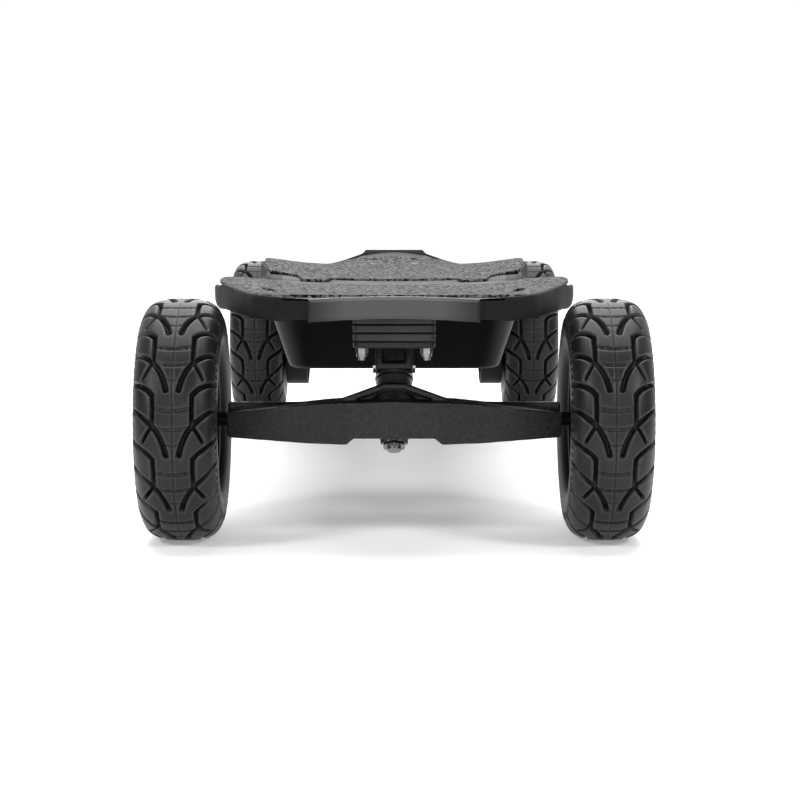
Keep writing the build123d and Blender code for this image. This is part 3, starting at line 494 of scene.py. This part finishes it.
def tyre_points(sizes, x_middle, y_axle, z_axle):
    """A tyre as one closed surface: the section carried round the axle, each point sunk along the
    section's inward normal by the tread's relief at its angle."""
    x, r, v = tyre_section()
    repeats = sizes.tread_repeats
    pitch = 2 * pi * TYRE_R / repeats
    u = -np.arange(ROWS_PER_REPEAT) / ROWS_PER_REPEAT * pitch
    uu, vv = np.meshgrid(u, v, indexing="ij")
    relief = tread_relief(uu, vv, pitch, sizes.groove_depth / MM, sizes.sipe_depth / MM)
    relief = np.tile(relief, (repeats, 1))
    dx, dr = np.gradient(x), np.gradient(r)
    size = np.hypot(dx, dr)
    normal_x, normal_r = dr / size, -dx / size
    outward = np.sign(normal_r[len(r) // 2]) or 1.0
    xx = x[None, :] - outward * normal_x[None, :] * relief
    rr = r[None, :] - outward * normal_r[None, :] * relief
    # close the loop under the bead
    inner_x, inner_r = np.array([15.0, -15.0]), np.array([44.6, 44.6])
    xx = np.hstack([xx, np.tile(inner_x, (len(xx), 1))])
    rr = np.hstack([rr, np.tile(inner_r, (len(rr), 1))])
    angle = TIP_ANGLE + np.arange(len(xx)) * 2 * pi / len(xx)
    points = np.stack([x_middle + xx, y_axle - rr * np.cos(angle)[:, None],
                       z_axle + rr * np.sin(angle)[:, None]], axis=-1)
    return points, grid_faces(*xx.shape, close_rows=True)


class SKATE_OT_tyres(bpy.types.Operator):
    """Build the four tyres with their moulded tread, and give the inner tubes their rubber"""

    bl_idname = "skate.tyres"
    bl_label = "Tyres"

    def execute(self, context):
        rubber = tyre_rubber("vulcanised rubber tyre", context.scene.skate_colours.tyre)
        butyl = moulded("butyl inner tube", linear("#191919"), 0.5)
        for wheel in WHEELS:
            node = f"{wheel}_tyre"
            low, high = box_mm(node)
            middle = (low + high) / 2
            points, faces = tyre_points(context.scene.skate_sizes, *middle)
            make_piece(f"{wheel}_treaded_tyre", points, faces, rubber, node)
            finish_node(f"{wheel}_inner_tube", butyl)
        return {"FINISHED"}


# ---------------------------------------------------------------- cast trucks and plain CAD nodes
RISER_LAYERS = 3
RISER_LENGTH = 92.0
RISER_GAP = 0.5
CORNER_POINTS = 7


def slab_points(low, high, radius, bevel):
    """A moulded slab: a rounded rectangle (a quarter circle at each corner) carried from one face
    to the other, drawn in by a bevel at both rims and closed on its middle."""
    middle = (low + high)[:2] / 2
    reach = (high - low)[:2] / 2 - radius
    turn = (np.arange(4)[:, None] * pi / 2
            + np.linspace(0, pi / 2, CORNER_POINTS)[None, :]).ravel()
    corner = np.repeat(np.array([(1, 1), (-1, 1), (-1, -1), (1, -1)]), CORNER_POINTS, axis=0)
    round_corner = np.stack([np.cos(turn), np.sin(turn)], axis=1)
    rows = []
    for inset, z in ((None, low[2]), (bevel, low[2]), (0.0, low[2] + bevel),
                     (0.0, low[2] + 1.5 * bevel), (0.0, high[2] - 1.5 * bevel),
                     (0.0, high[2] - bevel), (bevel, high[2]), (None, high[2])):
        if inset is None:
            loop = np.zeros((len(turn), 2))
        else:
            loop = corner * reach + (radius - inset) * round_corner
        rows.append(np.column_stack([middle + loop, np.full(len(turn), z)]))
    points = np.stack(rows)
    return points, grid_faces(len(rows), len(turn))


def make_risers(material):
    """The riser stacks, layer by layer, in the boxes that the CAD risers fill at each truck."""
    low, high = box_mm("risers")
    thick = (high[2] - low[2]) / RISER_LAYERS
    for end, name in ((-1, "nose"), (1, "tail")):
        outer = low[1] if end < 0 else high[1]
        inner = outer - end * RISER_LENGTH
        for layer in range(RISER_LAYERS):
            z = low[2] + layer * thick
            corner_low = np.array([low[0], min(outer, inner), z + RISER_GAP / 2])
            corner_high = np.array([high[0], max(outer, inner), z + thick - RISER_GAP / 2])
            points, faces = slab_points(corner_low, corner_high, 5.0, 0.7)
            make_piece(f"{name}_riser_{layer + 1}", points, faces, material, "risers")


class SKATE_OT_trucks(bpy.types.Operator):
    """Finish the cast hangers and base plates, the risers, bushings and pins"""

    bl_idname = "skate.trucks"
    bl_label = "Trucks"

    def execute(self, context):
        voxel = context.scene.skate_sizes.cast_voxel
        paint = cast_paint("sand-cast alloy in black powder paint",
                           context.scene.skate_colours.casting)
        for node in ("front_hanger", "rear_hanger", "truck_base_plates"):
            soften(node, paint, voxel)
        pads = moulded("moulded rubber riser", linear("#2a2a2b"), 0.45, 1.2, 0.1)
        make_risers(pads)
        urethane = moulded("cast urethane bushing", linear("#39393b"), 0.35, 1.5, 0.02)
        finish_node("bushings", urethane)
        finish_node("pivot_bushes", machined("sintered bronze bush", linear("#a37b45"), 0.4))
        zinc = machined("zinc-plated turned steel", linear("#8f9295"), 0.24)
        for node in ("kingpins", "kingpin_nuts", "truck_bolts", "truck_nuts", "front_axle_nuts",
                     "rear_axle_nuts"):
            finish_node(node, zinc)
        steel = machined("ground bearing steel", linear("#9b9ea3"), 0.3)
        for node in ("kingpin_cross_pins", "bushing_washers"):
            finish_node(node, steel)
        black = machined("black oxide steel", linear("#161617"), 0.45)
        for node in ("front_axles", "rear_axles", "enclosure_screws"):
            finish_node(node, black)
        return {"FINISHED"}


class SKATE_OT_hubs(bpy.types.Operator):
    """Finish the moulded hubs and their bearings"""

    bl_idname = "skate.hubs"
    bl_label = "Hubs"

    def execute(self, context):
        nylon = moulded("glass-filled nylon hub", linear("#1a1a1b"), 0.38, 0.9, 0.06)
        steel = machined("bearing race steel", linear("#a9acb0"), 0.25)
        for wheel in WHEELS:
            finish_node(f"{wheel}_hub", nylon)
            finish_node(f"{wheel}_bearings", steel)
        return {"FINISHED"}


class SKATE_OT_drive(bpy.types.Operator):
    """Finish the belt drives: covers, belts, pulleys, mounts, motors and leads"""

    bl_idname = "skate.drive"
    bl_label = "Belt drive"

    def execute(self, context):
        cover = moulded("moulded belt cover", linear("#141415"), 0.5, 0.8, 0.06)
        belt = moulded("neoprene belt", linear("#161616"), 0.6, 0.9, 0.05)
        alloy = machined("milled aluminium", linear("#a4a7ab"), 0.34)
        steel = machined("hobbed pulley steel", linear("#8d9095"), 0.32)
        can = moulded("black anodised motor can", linear("#19191b"), 0.3, 0.5, 0.02)
        for hand in ("left", "right"):
            finish_node(f"{hand}_belt_cover", cover)
            finish_node(f"{hand}_belt", belt)
            finish_node(f"{hand}_wheel_pulley", alloy)
            finish_node(f"{hand}_motor_mount", alloy)
            finish_node(f"{hand}_motor_pulley", steel)
            finish_node(f"{hand}_motor", can)
        sleeve = moulded("silicone lead sleeve", linear("#18181a"), 0.45, 0.7, 0.02)
        bending_copy("motor_leads", sleeve)
        finish_node("lead_glands", moulded("nylon gland", linear("#1d1d1f"), 0.4))
        return {"FINISHED"}


class SKATE_OT_tub(bpy.types.Operator):
    """Finish the battery tub, its gasket, port and button, and the electronics inside"""

    bl_idname = "skate.tub"
    bl_label = "Battery tub"

    def execute(self, context):
        shell = moulded("vacuum-formed ABS tub", context.scene.skate_colours.tub, 0.5, 0.9, 0.08,
                        specular=0.12)
        finish_node("enclosure", shell)
        finish_node("enclosure_gasket", moulded("closed-cell foam gasket", linear("#121212"), 0.7))
        nylon = moulded("moulded nylon port", linear("#1d1d1f"), 0.4)
        finish_node("charge_port", nylon)
        finish_node("power_button_bezel", nylon)
        finish_node("charge_port_cap", moulded("rubber cap", linear("#222223"), 0.55))
        finish_node("power_button", machined("anodised button", linear("#b9bcc0"), 0.3))
        wrap = moulded("heat-shrink cell wrap", linear("#2f6fa8"), 0.3, 2.0, 0.01)
        finish_node("battery_cells", wrap)
        board = moulded("solder-masked circuit board", linear("#1d5a36"), 0.35, 1.0, 0.02)
        finish_node("battery_management_board", board)
        finish_node("radio_receiver", board)
        finish_node("speed_controller", machined("extruded heat sink", linear("#8e9196"), 0.4))
        return {"FINISHED"}


# ---------------------------------------------------------------- deck
DECK_LOW, DECK_HIGH = box_mm("deck")
STATION_STEP = 25.0
RIM_INSET = 3.9
# raised rim and the side below it: inset from the edge, rise over the top, share of the way down
RIM = ((3.7, 1.5, 0.0), (3.2, 1.95, 0.0), (2.2, 2.0, 0.0), (1.2, 1.8, 0.0), (0.5, 1.2, 0.0),
       (0.1, 0.3, 0.0), (0.0, 0.0, 0.1), (0.0, 0.0, 0.5), (0.1, 0.0, 0.75), (0.7, 0.0, 0.9),
       (1.8, 0.0, 0.98), (3.5, 0.0, 1.0))
TOP_POINTS = 41
END_BEVEL = 1.4


def deck_stations():
    """Station, half width, edge height, centre height, underside height and lip height of the deck,
    read from the CAD deck's own vertices where its sections lie."""
    corners = np.array([corner.co for corner in NODES["deck"].data.vertices]) / MM
    x, y, z = np.abs(corners[:, 0]), corners[:, 1], corners[:, 2]
    rows = []
    for station in np.arange(DECK_LOW[1], DECK_HIGH[1] + 1, STATION_STEP):
        here = np.abs(y - station) < 0.05
        half = x[here].max()
        under = z[here & (x < half - 13.0)].min()
        low = z[here & (x < half - 2.5) & (x > half - 3.5)].min()
        top = here & (x <= half - 1.9) & (z > (under + low) / 2 + 3.5)
        slope, centre = np.polyfit(x[top] ** 2, z[top], 1)
        rows.append((station, half, centre + slope * half ** 2, centre, under, low))
    return np.array(rows)


def deck_points():
    """The deck as one closed surface: at each station a dished top (a parabola across), a rim
    rounded over the edge that stands level with the foot pads, a side that draws in below and a
    flat underside, mirrored. The stations follow a smooth curve along the board, and each end is
    bevelled and closed on its middle line."""
    rows = along_curve(deck_stations(), 10)
    y, half, edge, centre, under, low = (column[:, None] for column in rows.T)
    # the side hangs lower round the nose
    near_nose = np.clip((-y - 300.0) / 60.0, 0, 1)
    low = low - 4.0 * near_nose * near_nose * (3 - 2 * near_nose)
    across = np.linspace(-1, 1, TOP_POINTS)[None, :]
    reach = half - RIM_INSET
    top_x = reach * across
    top_z = centre + (edge - centre) * (top_x / half) ** 2
    inset, rise, fall = (np.array(part)[None, :] for part in zip(*RIM))
    side_x = half - inset
    side_z = (centre + (edge - centre) * (side_x / half) ** 2) * (1 - fall) + low * fall + rise
    flat_x = np.hstack([half - 8.0, half - 14.0, 0.4 * half])
    flat_z = np.hstack([(low + under) / 2, under, under])
    xs = np.hstack([top_x, side_x, flat_x, -flat_x[:, ::-1], -side_x[:, ::-1]])
    zs = np.hstack([top_z, side_z, flat_z, flat_z[:, ::-1], side_z[:, ::-1]])
    points = np.stack([xs, np.broadcast_to(y, xs.shape), zs], axis=-1)

    def closed(row, way):
        """The end rows: the section drawn back a little, drawn in by the bevel, and shut."""
        middle = np.array([0.0, row[0, 1], row[:, 2].mean()])
        full, drawn = row.copy(), row.copy()
        full[:, 1] -= way * END_BEVEL
        drawn[:, 0] *= 1 - END_BEVEL / np.abs(row[:, 0]).max()
        drawn[:, 2] = middle[2] + (row[:, 2] - middle[2]) * 0.86
        return full, drawn, np.broadcast_to(middle, row.shape)

    nose, tail = closed(points[0], -1), closed(points[-1], 1)
    points = np.concatenate([np.stack(nose[::-1]), points[1:-1], np.stack(tail)])
    return points, grid_faces(*points.shape[:2])


class SKATE_OT_deck(bpy.types.Operator):
    """Build the deck with its rounded lip, and finish its foot pads and the end bumpers"""

    bl_idname = "skate.deck"
    bl_label = "Deck"

    def execute(self, context):
        colours = context.scene.skate_colours
        composite = moulded("moulded composite deck", colours.deck, 0.55, 0.7, 0.03, specular=0.08)
        edge = moulded("ground deck edge", colours.deck, 0.7, 1.2, 0.08, specular=0.15)
        points, faces = deck_points()
        deck = make_piece("moulded_deck", points, faces, composite, "deck")
        deck.data.materials.append(edge)
        # the edge's finish covers two strips of the top at each rim, the side and the underside
        column = faces[:, 0] % points.shape[1]
        side = (column < 2) | (column >= TOP_POINTS - 3)
        deck.data.polygons.foreach_set("material_index", side.astype(np.int32))
        finish_node("grip_tape", grit("silicon carbide grip", colours.grip))
        finish_node("end_bumpers", bumper_rubber("moulded rubber bumper", colours.bumper))
        return {"FINISHED"}


# ---------------------------------------------------------------- stage
FLOOR_REACH = 30.0
FLOOR_BACK = 3.2
AIM = Vector((0, 0, 0.15))
# name, place, size and power of each soft light
LIGHTS = (("top softbox", (0.0, 0.2, 2.2), 2.4, 78.0),
          ("back strip", (0.0, 3.0, 1.6), 2.0, 40.0),
          ("front left box", (-1.0, -1.5, 1.0), 0.35, 13.0),
          ("front right box", (1.0, -1.5, 1.0), 0.35, 13.0),
          ("box over the camera", (0.0, -2.4, 0.62), 0.5, 9.0))
SENSOR_MM = 36.0
LENS_MM = 94.05
CAMERA_TILT = radians(5.6)
CAMERA_PAN = radians(0.16)


class SKATE_OT_stage(bpy.types.Operator):
    """Set the pale floor, the soft lights and the camera"""

    bl_idname = "skate.stage"
    bl_label = "Stage"

    def execute(self, context):
        scene = context.scene
        sizes = scene.skate_sizes
        mesh = bpy.data.meshes.new("floor")
        mesh.from_pydata([(-FLOOR_REACH, -FLOOR_REACH, 0), (FLOOR_REACH, -FLOOR_REACH, 0),
                          (FLOOR_REACH, FLOOR_BACK, 0), (-FLOOR_REACH, FLOOR_BACK, 0)], [],
                         [(0, 1, 2, 3)])
        floor = bpy.data.objects.new("floor", mesh)
        scene.collection.objects.link(floor)
        material, tree, _ = new_material("matt studio floor")
        output(tree, add(tree, "ShaderNodeBsdfPrincipled", {
            "Base Color": (*scene.skate_colours.floor, 1.0), "Roughness": 0.9,
            "Specular IOR Level": 0.0, "Emission Color": (1.0, 1.0, 1.0, 1.0),
            "Emission Strength": 0.24}))
        mesh.materials.append(material)

        # a bright wall behind the board and a dark one behind the camera, so that black parts stay
        # black and only their edges and upper faces catch light
        world = bpy.data.worlds.new("studio walls")
        world.use_nodes = True
        walls = world.node_tree
        towards = add(walls, "ShaderNodeSeparateXYZ", {
            "Vector": add(walls, "ShaderNodeTexCoord").outputs["Generated"]})
        level = add(walls, "ShaderNodeMapRange", {"Value": towards.outputs["Y"], "From Min": -0.35,
                                                  "From Max": 0.85, "To Min": 0.03, "To Max": 1.06})
        walls.links.new(level.outputs[0], walls.nodes["Background"].inputs["Strength"])
        walls.nodes["Background"].inputs["Color"].default_value = (1, 1, 1, 1)
        scene.world = world
        scene.view_settings.view_transform = "Standard"

        for name, place, size, watts in LIGHTS:
            light = bpy.data.lights.new(name, "AREA")
            light.size = size
            light.energy = watts
            lamp = bpy.data.objects.new(name, light)
            lamp.location = place
            lamp.rotation_euler = (AIM - Vector(place)).to_track_quat("-Z", "Y").to_euler()
            scene.collection.objects.link(lamp)

        data = bpy.data.cameras.new("camera")
        data.sensor_width = SENSOR_MM
        data.lens = LENS_MM
        camera = bpy.data.objects.new("camera", data)
        camera.location = (0.0, -sizes.camera_distance, sizes.camera_height)
        camera.rotation_euler = (pi / 2 - CAMERA_TILT, 0.0, -CAMERA_PAN)
        scene.collection.objects.link(camera)
        scene.camera = camera
        return {"FINISHED"}


class SKATE_PT_panel(bpy.types.Panel):
    """Lists the skateboard's building steps"""

    bl_label = "Skateboard"
    bl_idname = "SKATE_PT_panel"
    bl_space_type = "VIEW_3D"
    bl_region_type = "UI"
    bl_category = "Skateboard"

    def draw(self, context):
        for group in (context.scene.skate_sizes, context.scene.skate_colours):
            for name in group.__annotations__:
                self.layout.prop(group, name)
        for step in STEPS:
            self.layout.operator(step.bl_idname)


STEPS = (SKATE_OT_stage, SKATE_OT_deck, SKATE_OT_tub, SKATE_OT_trucks, SKATE_OT_hubs,
         SKATE_OT_tyres, SKATE_OT_drive)
CLASSES = (SkateboardSizes, SkateboardColours, *STEPS, SKATE_PT_panel)


def register():
    """Add the classes and the scene's settings to Blender."""
    for kind in CLASSES:
        bpy.utils.register_class(kind)
    bpy.types.Scene.skate_sizes = bpy.props.PointerProperty(type=SkateboardSizes)
    bpy.types.Scene.skate_colours = bpy.props.PointerProperty(type=SkateboardColours)


def unregister():
    """Take the settings and the classes away again."""
    del bpy.types.Scene.skate_colours
    del bpy.types.Scene.skate_sizes
    for kind in reversed(CLASSES):
        bpy.utils.unregister_class(kind)


def main():
    """Build the board step by step."""
    register()
    for step in STEPS:
        group, name = step.bl_idname.split(".")
        getattr(getattr(bpy.ops, group), name)()


if __name__ == "__main__":
    main()
